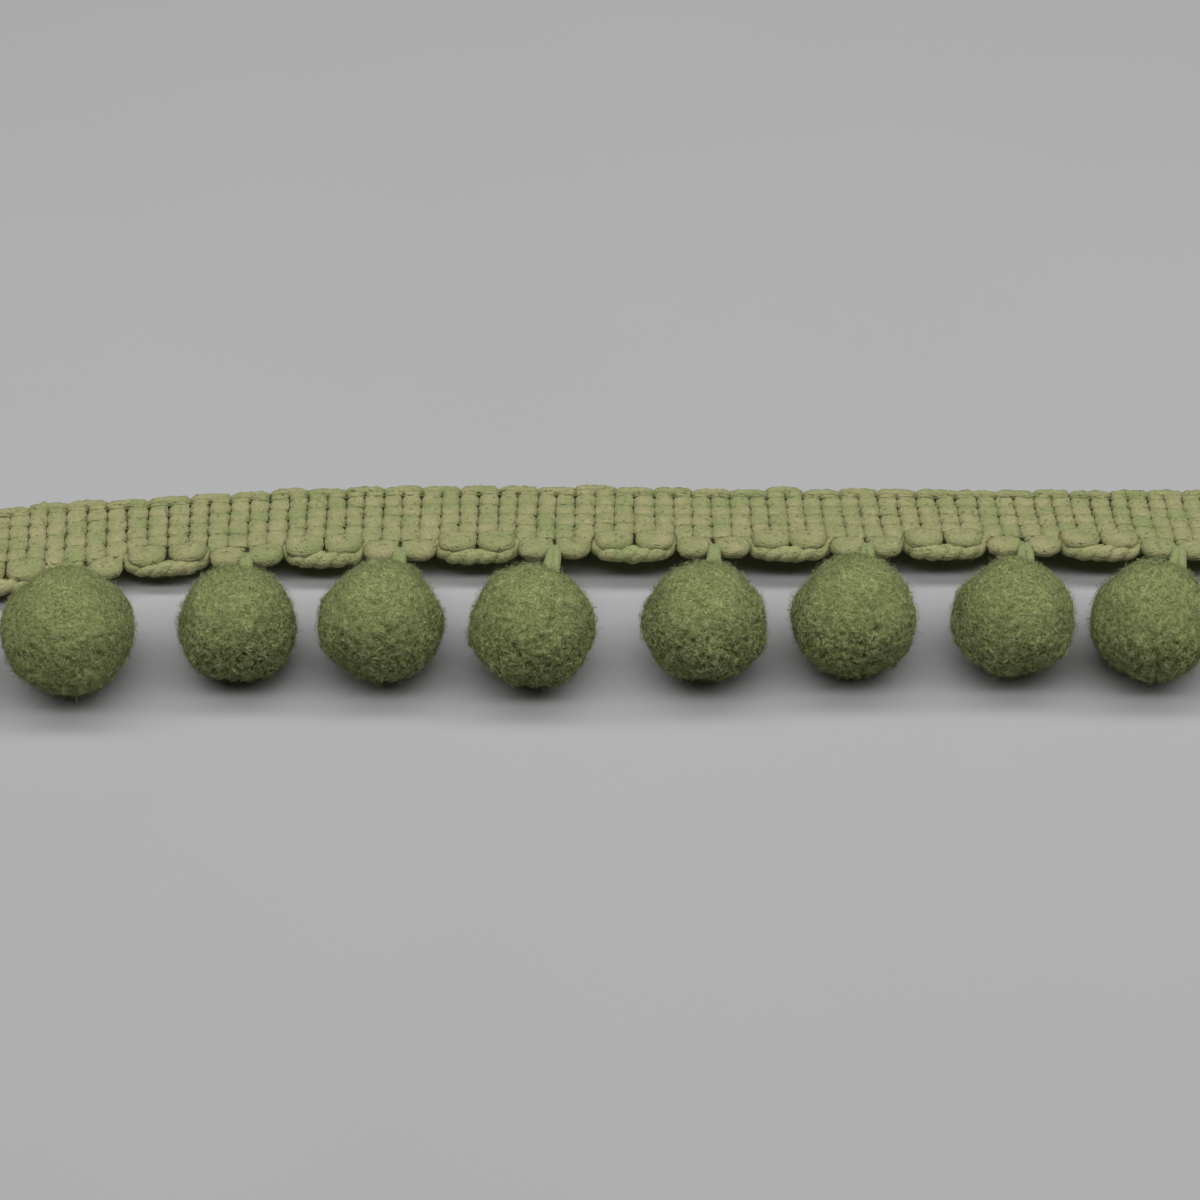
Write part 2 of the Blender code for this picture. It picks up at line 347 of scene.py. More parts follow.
def add_node(tree, kind, settings=None, **inputs):
    """New node with its settings, and its inputs linked or set by socket name."""
    node = tree.nodes.new(kind)
    for name, value in (settings or {}).items():
        setattr(node, name, value)
    for name, value in inputs.items():
        fill_socket(tree, node.inputs[name], value)
    return node


def fill_socket(tree, socket, value):
    """Links a socket to another one, or sets it to a number, a tuple or a colour of three."""
    if isinstance(value, bpy.types.NodeSocket):
        tree.links.new(value, socket)
    elif socket.type == "RGBA" and len(value) == 3:
        socket.default_value = (*value, 1.0)
    else:
        socket.default_value = value


def new_material(name, roughness, specular=0.2):
    finish = bpy.data.materials.new(name)
    finish.use_nodes = True
    tree = finish.node_tree
    shader = tree.nodes["Principled BSDF"]
    shader.inputs["Roughness"].default_value = roughness
    shader.inputs["Specular IOR Level"].default_value = specular
    return finish, tree, shader


def noise_at(tree, place, scale, detail):
    return add_node(tree, "ShaderNodeTexNoise", Vector=place, Scale=scale, Detail=detail).outputs["Fac"]


def object_noise(tree, size_mm, detail):
    """Noise in the object's own space, with features of a size in mm."""
    place = add_node(tree, "ShaderNodeTexCoord").outputs["Object"]
    return noise_at(tree, place, 1000 / size_mm, detail)


def yarn_noise(tree, across_mm, along_mm, detail):
    """Noise in the yarn's UV (mm around it, mm along it), drawn out along the yarn."""
    place = add_node(tree, "ShaderNodeUVMap", {"uv_map": "yarn"}).outputs["UV"]
    scale = (1 / across_mm, 1 / along_mm, 1.0)
    scaled = add_node(tree, "ShaderNodeMapping", Vector=place, Scale=scale).outputs["Vector"]
    return noise_at(tree, scaled, 1.0, detail)


def spread(tree, value, low, high, to_low=0.0, to_high=1.0):
    """value from low..high to to_low..to_high, clamped."""
    ends = {"From Min": low, "From Max": high, "To Min": to_low, "To Max": to_high}
    return add_node(tree, "ShaderNodeMapRange", Value=value, **ends).outputs["Result"]


def mix_colour(tree, share, first, second, blend="MIX"):
    """Blend of two colours, each a socket or a tuple of three."""
    node = add_node(tree, "ShaderNodeMix", {"data_type": "RGBA", "blend_type": blend}, Factor=share)
    colour_sockets = [socket for socket in node.inputs if socket.type == "RGBA"]
    for socket, value in zip(colour_sockets, (first, second)):
        fill_socket(tree, socket, value)
    return next(socket for socket in node.outputs if socket.type == "RGBA")


def shade(tree, colour, value):
    """Colour, a socket or a tuple of three, times a grey value socket."""
    grey = add_node(tree, "ShaderNodeCombineColor", Red=value, Green=value, Blue=value).outputs["Color"]
    return mix_colour(tree, 1.0, colour, grey, "MULTIPLY")


def calculate(tree, operation, *values):
    node = add_node(tree, "ShaderNodeMath", {"operation": operation})
    for socket, value in zip(node.inputs, values):
        fill_socket(tree, socket, value)
    return node.outputs[0]


def times(tree, first, second):
    return calculate(tree, "MULTIPLY", first, second)


def combined(tree, operation, total, *others):
    """Several sockets as one, by the same operation from each to the next."""
    for other in others:
        total = calculate(tree, operation, total, other)
    return total


def mark_of(tree, name):
    """A value that the mesh holds for each point."""
    return add_node(tree, "ShaderNodeAttribute", {"attribute_name": name}).outputs["Fac"]


def finish_surface(tree, shader, colour, height, distance_mm):
    """Gives the shader its colour and a bump."""
    tree.links.new(colour, shader.inputs["Base Color"])
    bump = add_node(tree, "ShaderNodeBump", Height=height, Strength=1.0, Distance=distance_mm * MM)
    tree.links.new(bump.outputs["Normal"], shader.inputs["Normal"])


# ---- materials

HEADER_GREEN = (0.295, 0.33, 0.14)
HEADER_BEIGE = (0.405, 0.375, 0.195)
# painted light: the header's yarn again, made lighter to make up for the shade that falls on the cord
CORD_PAINTED_LIGHT_GREEN = (0.335, 0.375, 0.16)
CORD_PAINTED_LIGHT_BEIGE = (0.455, 0.42, 0.22)
LOOP_GREEN = (0.31, 0.355, 0.155)
THREAD_GREEN = (0.19, 0.22, 0.09)
# painted shade: the inner sheet is as dark as the shade deep between the ribs
CORE_PAINTED_SHADE = (0.045, 0.055, 0.022)
POMPOM_LIGHT = (0.47, 0.52, 0.215)
POMPOM_DARK = (0.095, 0.12, 0.035)
# painted glint: the colour that the lightest fibres turn to
POMPOM_HAIR_GLINT = (0.60, 0.64, 0.37)
FLOOR_LOW = (0.425, 0.43, 0.435)
FLOOR_HIGH = (0.455, 0.455, 0.46)

# Feature sizes in mm, the ranges of their noise that are used, and what they do to the colour
MOST = (0.3, 0.7)  # holds nearly all of a noise
YARN_PATCHES, YARN_PATCH_RANGE = 2.2, (0.33, 0.70)
YARN_TONE = 0.05  # shift by a stretch's own tone
YARN_HAIRS = (0.10, 0.8)  # across and along the yarn
YARN_HAIR_SHADES = (0.95, 1.05)
# painted highlight and shade: specks are lighter where their bump is higher
YARN_SPECKS, YARN_SPECK_RANGE, YARN_SPECK_PAINTED_SHADING = 0.24, (0.34, 0.66), (0.90, 1.10)
YARN_SPECK_HEIGHT = 1.5  # next to the hairs'
# painted shade: pits are darker where their bump is lower
YARN_PITS, YARN_PIT_RANGE, YARN_PIT_PAINTED_SHADE = 0.5, (0.24, 0.38), (0.76, 1.0)
YARN_BUMP = 0.10
THREAD_TWIST, THREAD_SHADES, THREAD_BUMP = 0.2, (0.8, 1.15), 0.04
# painted shade and highlight: grain, clumps and fibre lines are painted darker where their bump is lower,
# lighter where it is higher
PILE_GRAIN, PILE_GRAIN_PAINTED_SHADING = 0.18, (-0.36, 0.30)
PILE_CLUMPS, PILE_CLUMP_PAINTED_SHADING, PILE_CLUMP_HEIGHT = 0.8, (-0.08, 0.08), 0.3
PILE_PATCHES, PILE_PATCH_TONES = 2.6, (-0.06, 0.06)
LINE_WIDTH, LINE_LENGTH = 0.24, 1.0
LINE_REACH = 0.075  # of the noise, to each side of its middle
LINE_PAINTED_HIGHLIGHT, LINE_HEIGHT = (0.0, 0.36), 0.5
LINE_TURNS = ((0.0, 0.0, 0.0), (0.0, 0.0, 1.57), (1.57, 0.0, 0.8), (0.8, 0.6, 2.4), (0.8, -0.7, 0.9))
HAIR_GLINT_TONES = (1.0, 1.3)  # over which a fibre turns to the painted glint's colour
PILE_BUMP = 0.12
FLOOR_PATCHES = 60.0


def yarn_material(name, green, beige):
    """Soft matt yarn, mottled between two tones, with hairs drawn out along it, specks painted lighter
    where they stand higher as painted highlight, and small pits painted darker as painted shade.
    """
    finish, tree, shader = new_material(name, roughness=0.95)
    patches = object_noise(tree, YARN_PATCHES, detail=3.0)
    patches = calculate(tree, "ADD", patches, times(tree, mark_of(tree, "tone"), YARN_TONE))
    colour = mix_colour(tree, spread(tree, patches, *YARN_PATCH_RANGE), green, beige)
    hairs = yarn_noise(tree, *YARN_HAIRS, detail=3.0)
    specks = object_noise(tree, YARN_SPECKS, detail=3.0)
    pits = spread(tree, object_noise(tree, YARN_PITS, detail=1.0), *YARN_PIT_RANGE)
    colour = shade(tree, colour, spread(tree, hairs, *MOST, *YARN_HAIR_SHADES))
    # painted highlight on the specks and painted shade in the pits, following the bump
    colour = shade(tree, colour, spread(tree, specks, *YARN_SPECK_RANGE, *YARN_SPECK_PAINTED_SHADING))
    colour = shade(tree, colour, spread(tree, pits, 0.0, 1.0, *YARN_PIT_PAINTED_SHADE))
    height = combined(tree, "ADD", hairs, times(tree, specks, YARN_SPECK_HEIGHT), pits)
    finish_surface(tree, shader, colour, height, YARN_BUMP)
    return finish


def thread_material(name, colour):
    """Fine hard-twisted thread; its finish also colours the dark inner sheet of painted shade."""
    finish, tree, shader = new_material(name, roughness=0.8)
    twist = object_noise(tree, THREAD_TWIST, detail=1.0)
    colour = shade(tree, colour, spread(tree, twist, *MOST, *THREAD_SHADES))
    finish_surface(tree, shader, colour, twist, THREAD_BUMP)
    return finish


def matted_lines(tree, place, turn):
    """Thin lines that run one way over a surface, 1 along each line and 0 between them."""
    scale = (LINE_WIDTH * MM, LINE_LENGTH * MM, LINE_WIDTH * MM)
    scaled = add_node(tree, "ShaderNodeMapping", {"vector_type": "TEXTURE"},
                      Vector=place, Rotation=turn, Scale=scale).outputs["Vector"]
    from_middle = calculate(tree, "SUBTRACT", noise_at(tree, scaled, 1.0, 1.0), 0.5)
    return spread(tree, calculate(tree, "ABSOLUTE", from_middle), 0.0, LINE_REACH, 1.0, 0.0)


def pile_material(name):
    """Matted short pile: painted shade in its pits and painted highlight along its fibres, both following
    its bump.
    """
    finish, tree, shader = new_material(name, roughness=1.0)
    grain = object_noise(tree, PILE_GRAIN, detail=3.0)
    clumps = object_noise(tree, PILE_CLUMPS, detail=2.0)
    patches = object_noise(tree, PILE_PATCHES, detail=2.0)
    place = add_node(tree, "ShaderNodeTexCoord").outputs["Object"]
    lines = combined(tree, "MAXIMUM", *(matted_lines(tree, place, turn) for turn in LINE_TURNS))
    rough = mark_of(tree, "roughness")
    # painted shade and highlight that follow the bump
    tone = combined(
        tree, "ADD",
        mark_of(tree, "tone"),
        times(tree, rough, spread(tree, grain, *MOST, *PILE_GRAIN_PAINTED_SHADING)),
        spread(tree, clumps, *MOST, *PILE_CLUMP_PAINTED_SHADING),
        spread(tree, patches, *MOST, *PILE_PATCH_TONES),
        spread(tree, lines, 0.0, 1.0, *LINE_PAINTED_HIGHLIGHT),
    )
    colour = mix_colour(tree, spread(tree, tone, 0.0, 1.0), POMPOM_DARK, POMPOM_LIGHT)
    # painted glints: the lightest fibres turn to the lighter hair colour
    colour = mix_colour(tree, spread(tree, mark_of(tree, "tone"), *HAIR_GLINT_TONES), colour, POMPOM_HAIR_GLINT)
    height = combined(tree, "ADD", times(tree, grain, rough), times(tree, clumps, PILE_CLUMP_HEIGHT),
                      times(tree, lines, LINE_HEIGHT))
    finish_surface(tree, shader, colour, height, PILE_BUMP)
    return finish


def floor_material():
    finish, tree, shader = new_material("pale_floor", roughness=0.75, specular=0.1)
    colour = mix_colour(tree, object_noise(tree, FLOOR_PATCHES, detail=3.0), FLOOR_LOW, FLOOR_HIGH)
    tree.links.new(colour, shader.inputs["Base Color"])
    return finish


# ---- header

RIB_SEED, RIB_UNEVENNESS = 11, 0.09  # mm off their even places
ROW_SHARES = np.array([0.075, 0.215, 0.36, 0.51, 0.66])  # warp rows, of the width
ROW_SAGS = np.array([0.0, 0.0, 0.1, 0.4, 1.1])  # mm, by the loops
ROW_REACH = 0.20  # half the width of a row's groove
ROW_DEPTH, LAST_ROW_DEPTH = 0.26, 0.42  # of the rib's height
ROW_PINCH, PINCH_REACH = 0.25, 0.40  # of the rib's width; mm
RIB_HALF_HEIGHT, RIB_SQUARENESS = 0.75, 0.52
RIB_FILL = 1.11  # of its share of the band's length
CELL_SHARES = (0.0, 0.1, 0.23, 0.5, 0.77, 0.9)  # steps from one warp row to the next
CELL_LEAST = 0.15  # mm from a rib's end to its nearest row
CELL_SHIFT = 0.05  # mm sideways
CELL_WIDTHS, CELL_HEIGHTS = 0.03, 0.05  # shares by which cells differ
LOBES = {  # mm, of the lower turns
    "over_cord": {"back": 2.80, "depth": 0.72, "half_width": 1.27, "half_gap": 0.68, "lift": 0.5},
    "by_loop": {"back": 2.07, "depth": 0.80, "half_width": 1.16, "half_gap": 0.60, "lift": 0.12},
}
LOBE_HALF_HEIGHT, LOBE_SQUARENESS = 0.84, 0.82
LOBE_ROUNDNESS = 0.55  # of its outline: 1 is round, less is squarer
LOBE_START, LOBE_FULL = 0.3, 0.7  # mm over and under the last row, where ribs close up
LIFT_START, LIFT_FULL = 0.25, 1.15  # mm under it, where the lobe comes up
LOBE_SIZES, LOBE_HEIGHTS = (0.92, 1.08), (0.92, 1.0)
LOBE_MIDDLE_WIDTH = 0.92  # of its width at its ends
TURN_POINTS = 13
TURN_DOWN, TURN_UNEVENNESS = 0.16, 0.24  # mm from the upper edge to an upper turn
TURN_BOW = 0.12  # mm that its middle stands out
TURN_HALF_WIDTH, TURN_HEIGHTS, TURN_SQUARENESS = 0.54, (0.90, 1.0), 0.9
TURN_TAPERS = (4, 6)  # powers, for its width and height
TURN_LAST_RING = 0.995  # of the way to its tip
TURN_REACH = (0.05, 0.30)  # mm that it reaches over the next turns
LEG_TUCK = 0.25  # mm that a rib goes up into a turn
TUCK_NARROWER, TUCK_LOWER = 0.10, 0.25  # shares that it loses there
YARN_TONES, TURN_TONES = (-1, 1), (-2, 0)
WEFT_SEED, WEFT_SIDES = 23, 16
WEFT_WANDER, WANDER_SIZE, WANDER_SEED = 0.015, 5.0, 31
WEFT_ROUGHNESS = ((0.03, 1.0, 32), (0.03, 0.5, 33))  # height, size, seed


def lobe_kind(lobe):
    """Rib 2 j + 1 and rib 2 j + 2 end in lower lobe j."""
    return "over_cord" if lobe % 4 < 2 else "by_loop"


def rib_edges():
    """x of the boundaries between the ribs, a little uneven."""
    rng = np.random.default_rng(RIB_SEED)
    edges = x_along(FIRST_RIB_PLACE + np.arange(RIBS + 1) / RIBS_PER_REPEAT)
    return edges + rng.uniform(-RIB_UNEVENNESS, RIB_UNEVENNESS, RIBS + 1)


def cell_steps(rows, start, end):
    """Places down a rib, closer together at the warp rows."""
    inner = [row for row in rows if start + CELL_LEAST < row < end - CELL_LEAST]
    knots = [start, *inner, end]
    pairs = zip(knots, knots[1:])
    return np.array([one + (two - one) * share for one, two in pairs for share in CELL_SHARES])


def rib_plan(rib, edges, middle, width, top):
    """Where a rib, its lower turn, its warp rows and the steps down it lie."""
    kind = lobe_kind((rib - 1) // 2)
    shape = LOBES[kind]
    rows = ROW_SHARES * width + ROW_SAGS * (kind == "by_loop")
    turn_x = edges[rib + 1] if rib % 2 else edges[rib]
    low = band_width(turn_x) - shape["back"]
    return {
        "middle": middle,
        "half": (edges[rib + 1] - edges[rib]) / 2,
        "turn_x": turn_x,
        "leg_x": turn_x + math.copysign(shape["half_gap"], middle - turn_x),
        "shape": shape,
        "turns": rib not in (0, RIBS - 1),
        "rows": rows,
        "top": top,
        "low": low,
        "down": cell_steps(rows, top - LEG_TUCK, low),
    }


def height_at_rows(down, rows):
    """Share of a rib's height that its warp rows' grooves leave."""
    last_groove = bell(down, rows[-1], ROW_REACH)
    grooves = sum(bell(down, row, ROW_REACH) for row in rows[:-1]) + last_groove
    return 1 - ROW_DEPTH * grooves - (LAST_ROW_DEPTH - ROW_DEPTH) * last_groove


def rib_section(plan, rng):
    """A rib from its top down: x, down, lift, half width, half height, power and tone."""
    down, rows, shape = plan["down"], plan["rows"], plan["shape"]
    cell = np.searchsorted(rows, down)

    def by_cell(low, high):
        return rng.uniform(low, high, len(rows) + 1)[cell]

    in_lobe = plan["turns"] * smooth_step(down - rows[-1], -LOBE_START, LOBE_FULL)
    lifted = plan["turns"] * smooth_step(down - rows[-1], LIFT_START, LIFT_FULL)
    tucked = smooth_step(plan["top"] - down, -LEG_TUCK, LEG_TUCK)
    along = (plan["middle"] + by_cell(-CELL_SHIFT, CELL_SHIFT)) * (1 - in_lobe) + plan["leg_x"] * in_lobe
    pinch = sum(bell(down, row, PINCH_REACH) for row in rows)
    wide = plan["half"] * (RIB_FILL + by_cell(-CELL_WIDTHS, CELL_WIDTHS)) * (1 - ROW_PINCH * pinch)
    wide = (wide * (1 - in_lobe) + shape["half_width"] * in_lobe) * (1 - TUCK_NARROWER * tucked)
    high = RIB_HALF_HEIGHT * (1 + by_cell(-CELL_HEIGHTS, CELL_HEIGHTS))
    high = (high * (1 - lifted) + LOBE_HALF_HEIGHT * lifted) * (1 - TUCK_LOWER * tucked)
    high = high * height_at_rows(down, rows)
    power = RIB_SQUARENESS + (LOBE_SQUARENESS - RIB_SQUARENESS) * in_lobe
    return side_by_side(along, down, shape["lift"] * lifted, wide, high, power, by_cell(*YARN_TONES))


def lower_turn(plan, rng):
    """The yarn's turn from the low end of a rib to the next rib, same columns."""
    shape, leg_x = plan["shape"], plan["leg_x"]
    size = rng.uniform(*LOBE_SIZES)
    height = LOBE_HALF_HEIGHT * rng.uniform(*LOBE_HEIGHTS)
    tone = rng.uniform(*YARN_TONES)
    next_x = 2 * plan["turn_x"] - leg_x
    turn = math.pi * smooth_step(np.linspace(0, 1, TURN_POINTS + 2)[1:-1], 0, 1)
    sideways = np.sign(np.cos(turn)) * np.abs(np.cos(turn)) ** LOBE_ROUNDNESS
    along = (leg_x + next_x) / 2 - (next_x - leg_x) / 2 * sideways
    down = plan["low"] + shape["depth"] * size * np.sin(turn) ** LOBE_ROUNDNESS
    half_width = shape["half_width"]
    middle_width = LOBE_MIDDLE_WIDTH * half_width * size
    wide = half_width + (middle_width - half_width) * np.sin(turn) ** 2
    return side_by_side(along, down, shape["lift"], wide, height, 1.0, tone)


def upper_turn(rib, edges, down, rng):
    """The short stretch of yarn along the upper edge over two ribs, same columns."""
    start = max(edges[rib] - rng.uniform(*TURN_REACH), edges[0])
    end = min(edges[rib + 2] + rng.uniform(*TURN_REACH), edges[-1])
    height = RIB_HALF_HEIGHT * rng.uniform(*TURN_HEIGHTS)
    tone = rng.uniform(*TURN_TONES)
    share = np.sin(np.linspace(-math.pi / 2, math.pi / 2, TURN_POINTS)) * TURN_LAST_RING
    along = (start + end) / 2 + (end - start) / 2 * share
    bowed = down - TURN_BOW * (1 - share ** 2)
    width_left, height_left = ((1 - share ** taper) ** 0.5 for taper in TURN_TAPERS)
    wide, high = TURN_HALF_WIDTH * width_left, height * height_left
    return side_by_side(along, bowed, 0.0, wide, high, TURN_SQUARENESS, tone)


def weft_strands():
    """The weft yarn, up and down the band: its strands between upper turns, and those turns."""
    edges = rib_edges()
    middles = (edges[:-1] + edges[1:]) / 2
    widths = band_width(middles)
    rng = np.random.default_rng(WEFT_SEED)
    turns_down = TURN_DOWN + rng.uniform(-TURN_UNEVENNESS, TURN_UNEVENNESS, RIBS // 2)
    strands, strand = [], []
    for rib in range(RIBS):
        turn_down = turns_down[rib // 2]
        plan = rib_plan(rib, edges, middles[rib], widths[rib], turn_down + TURN_HALF_WIDTH)
        section = rib_section(plan, rng)
        if rib % 2 == 0:
            strands.append(np.concatenate([*strand, section[::-1]]))
            strands.append(upper_turn(rib, edges, turn_down, rng))
            strand = []
        else:
            strand.append(section)
            if plan["turns"]:
                strand.append(lower_turn(plan, rng))
    return [*strands, np.concatenate(strand)]


def build_weft(finish):
    """Rib yarn of the header: one thick soft yarn that turns at both edges."""
    parts, tones = [], []
    for strand in weft_strands():
        x, down, lift, width, height, power, tone = strand.T
        centres, normals = band_point(x, down, lift)
        wander = wave_noise(centres, WANDER_SIZE, WANDER_SEED)
        centres = centres + normals * WEFT_WANDER * wander[:, None]
        parts.append(sweep(centres, normals, width, height, power, WEFT_SIDES))
        tones += [np.repeat(tone, WEFT_SIDES), tone[[0, -1]]]
    points, faces, uv = join(parts)
    points = points + layered_noise(points, WEFT_ROUGHNESS)[:, None]
    return mesh_object("weft_yarn", points, faces, finish, uv, WEFT_LOWEST, tone=np.concatenate(tones))


THREAD_RADIUS = 0.08
THREAD_STEPS = 6  # a rib
THREAD_SIDES = 5
THREAD_LOW, THREAD_RISE = 0.10, 0.43  # mm in a furrow, and more on a rib
ARCH_POWERS = (2.8, 0.36)  # of the thread's arch over a rib
SAG_CHANGE = 3  # how fast the rows' sag changes
THREAD_WOBBLE = ((0.05, 6.0, 40),)  # height, size, seed


def thread_lift(shares, face):
    """How far over the mid surface a warp thread lies: low in the furrows, high on the ribs."""
    share = shares - np.floor(shares)
    outer, inner = ARCH_POWERS
    arch = (1 - np.abs(2 * share - 1) ** outer) ** inner
    return face * (THREAD_LOW + THREAD_RISE * arch)


def build_warp(finish):
    """Fine threads that cross the ribs in rows, on both faces of the band."""
    edges = rib_edges()
    shares = (np.arange(RIBS * THREAD_STEPS) + 0.5) / THREAD_STEPS
    rib = shares.astype(int)
    x = edges[rib] + (edges[rib + 1] - edges[rib]) * (shares - rib)
    swing = np.cos(2 * math.pi * (FIRST_RIB_PLACE + shares / RIBS_PER_REPEAT - CORD_PLACE))
    by_loop = 0.5 - 0.5 * np.clip(SAG_CHANGE * swing, -1, 1)
    rows = [share * band_width(x) + sag * by_loop for share, sag in zip(ROW_SHARES, ROW_SAGS)]
    line = side_by_side(x, 0.0, 0.0)
    parts = []
    for face in (1, -1):
        for number, row in enumerate(rows):
            down = row + layered_noise(line, THREAD_WOBBLE, number)
            centres, normals = band_point(x, down, thread_lift(shares, face))
            parts.append(sweep(centres, normals, THREAD_RADIUS, THREAD_RADIUS, 1.0, THREAD_SIDES))
    points, faces, uv = join(parts)
    return mesh_object("warp_threads", points, faces, finish, uv)


FUZZ_STRAY = 0.9  # from the yarn's direction
FUZZ_LENGTHS = (0.5, 1.0)  # shares of the given length
FUZZ_BEND = (-0.35, 0.35)  # of the length, sideways
FUZZ_ROOT = (-0.05, 0.02)  # mm over the surface
FUZZ_MIDDLE, FUZZ_TIP = (0.01, 0.5), (-0.1, 1.0)  # over it, of the reach
FUZZ_RADII = (0.014, 0.028)
WEFT_FUZZ = {"count": 9000, "length": 0.9, "reach": 0.3, "seed": 61}
EDGE_FUZZ = {"count": 900, "length": 0.8, "reach": 0.5, "seed": 62}
EDGE_STRIP = 0.4  # mm at the upper edge, which has more fuzz


def fuzz(points, outward, along, count, length, reach, seed):
    """Loose fibres over sampled surface points: the points and faces of their spindles."""
    rng = np.random.default_rng(seed)
    chosen = rng.integers(0, len(points), count)
    base, normal = points[chosen], outward[chosen]
    way = unit(along[chosen] + FUZZ_STRAY * rng.normal(size=base.shape))
    half = rng.uniform(*FUZZ_LENGTHS, (count, 1)) * length / 2
    sideways = np.cross(normal, way) * rng.uniform(*FUZZ_BEND, (count, 1)) * length
    first = base - way * half + normal * rng.uniform(*FUZZ_ROOT, (count, 1))
    middle = base + sideways * 0.5 + normal * rng.uniform(*FUZZ_MIDDLE, (count, 1)) * reach
    last = base + way * half + normal * rng.uniform(*FUZZ_TIP, (count, 1)) * reach
    return spindles(first, middle, last, rng.uniform(*FUZZ_RADII, count))


def vertex_values(mesh, name):
    values = np.empty(len(mesh.vertices) * 3)
    mesh.vertices.foreach_get(name, values)
    return values.reshape(-1, 3)


def build_weft_fuzz(weft, finish):
    """Loose fibres that stand off the header's yarn."""
    points, normals = vertex_values(weft.data, "co") / MM, vertex_values(weft.data, "normal")
    along = unit(np.cross(normals, [1.0, 0.0, 0.0]) + 1e-6)
    fibres, faces = fuzz(points, normals, along, **WEFT_FUZZ)
    edge = points[:, 1] > smooth_curve(points[:, 0], EDGE["x"], EDGE["up_y"]) - EDGE_STRIP
    more, more_faces = fuzz(points[edge], normals[edge], along[edge], **EDGE_FUZZ)
    faces = [faces, more_faces + len(fibres)]
    return mesh_object("weft_fuzz", np.concatenate([fibres, more]), faces, finish)


CORE_THICKNESS = 0.25
CORE_UP = 0.5  # mm from the upper edge
CORE_LOW_BACK, CORE_BACK_AT_END = 1.5, 3.2  # mm from the lower edge, and from it at the cut ends
CORE_BACK_BY_LOOP = 0.8  # mm more by a loop
CORE_INSET = 0.02  # repeats from each cut end
CORE_STEPS = 3  # a rib
CORE_ROWS = 12
CORE_END_COLUMNS = 4


def core_rows():
    """Rows of points of the inner sheet of painted shade, from near the upper edge to behind the lobes.
    """
    columns = RIBS * CORE_STEPS + 1
    length = RIBS / RIBS_PER_REPEAT
    x = x_along(FIRST_RIB_PLACE + CORE_INSET + np.linspace(0, length - 2 * CORE_INSET, columns))
    place = FIRST_RIB_PLACE + np.linspace(0, length, columns)
    by_loop = np.minimum(1.0, 1 - np.cos(2 * math.pi * (place - CORD_PLACE)))
    low = band_width(x) - CORE_LOW_BACK - CORE_BACK_BY_LOOP * by_loop
    for end in (slice(0, CORE_END_COLUMNS), slice(-CORE_END_COLUMNS, None)):
        low[end] = band_width(x[end]) - CORE_BACK_AT_END
    return [band_point(x, CORE_UP + (low - CORE_UP) * share)[0] for share in np.linspace(0, 1, CORE_ROWS)]


def build_core(finish):
    """Thin inner sheet of the band, between the weft's faces where the warp passes, coloured dark as
    painted shade for the gaps between the ribs and lobes.
    """
    shape = bmesh.new()
    grid = [[shape.verts.new(point * MM) for point in row] for row in core_rows()]
    for upper, lower in zip(grid, grid[1:]):
        for corners in zip(upper, lower, lower[1:], upper[1:]):
            shape.faces.new(corners)
    mesh = bpy.data.meshes.new("painted_shade_core")
    shape.to_mesh(mesh)
    shape.free()
    mesh.materials.append(finish)
    core = place_object("painted_shade_core", mesh)
    thicken = core.modifiers.new("thickness", "SOLIDIFY")
    thicken.thickness = CORE_THICKNESS * MM
    thicken.offset = 0.0
    return core


# ---- cords and loops

TUBE_SIDES = 12
STRAND_RADIUS = 0.68
STRAND_OFFSET = 0.17
STRAND_NOISE = ((0.06, 1.6, 100),)  # share of the radius, size, seed
TWIST_PITCH = 3.0
TWIST_STEP = 1.3  # radians from one cord to the next
CORD_POINTS = 72
CORD_NOISE = ((0.015, 0.8, 120),)  # height, size, seed
CORD_FUZZ = {"count": 300, "length": 0.8, "reach": 0.2}
CORD_FUZZ_SEED = 700
CORD_STRETCH = 1.10  # of its route along the trim
CORD_TUCK, TUCK_POWER = 0.7, 6  # how far up its ends go
CORD_INWARD, CORD_DOWN = 0.75, 0.15  # mm that it lies further in and down


def cord_route(number):
    """Centre line of a scallop cord and the header's normals along it."""
    fine = np.linspace(CORD["along"][0], CORD["along"][-1], CORD_POINTS)
    past = smooth_curve(fine, CORD["along"], CORD["past_edge"])
    over = smooth_curve(fine, CORD["along"], CORD["over"])
    x = x_along(number - 1 + CORD_PLACE) + fine * CORD_STRETCH
    past = past - CORD_INWARD - CORD_TUCK * np.abs(fine / fine[-1]) ** TUCK_POWER
    return band_point(x, band_width(x) + past, over - CORD_DOWN)


def build_cord(number, finish):
    """Two soft plies twisted together, hung in a shallow arc under two lobes."""
    centres, normals = cord_route(number)
    tangents = unit(np.gradient(centres, axis=0))
    across = unit(np.cross(tangents, normals))
    along = distances_along(centres)
    radius = STRAND_RADIUS * (1 + layered_noise(centres, STRAND_NOISE, number))
    parts = []
    for phase in (0.0, math.pi):
        turn = 2 * math.pi * along / TWIST_PITCH + phase + number * TWIST_STEP
        offset = np.cos(turn)[:, None] * across + np.sin(turn)[:, None] * np.cross(across, tangents)
        parts.append(sweep(centres + STRAND_OFFSET * offset, normals, radius, radius, 1.0, TUBE_SIDES))
    points, faces, uv = join(parts)
    points = points + layered_noise(points, CORD_NOISE, number)[:, None]
    near = np.argmin(np.abs(points[:, None, 0] - centres[None, :, 0]), axis=1)
    outward = unit(points - centres[near])
    fibres, fibre_faces = fuzz(points, outward, tangents[near], **CORD_FUZZ, seed=CORD_FUZZ_SEED + number)
    uv = np.concatenate([uv, np.zeros((fibre_faces.size, 2))])
    faces.append(fibre_faces + len(points))
    points = np.concatenate([points, fibres])
    return mesh_object("scallop_cord_yarn_%02d" % number, points, faces, finish, uv)


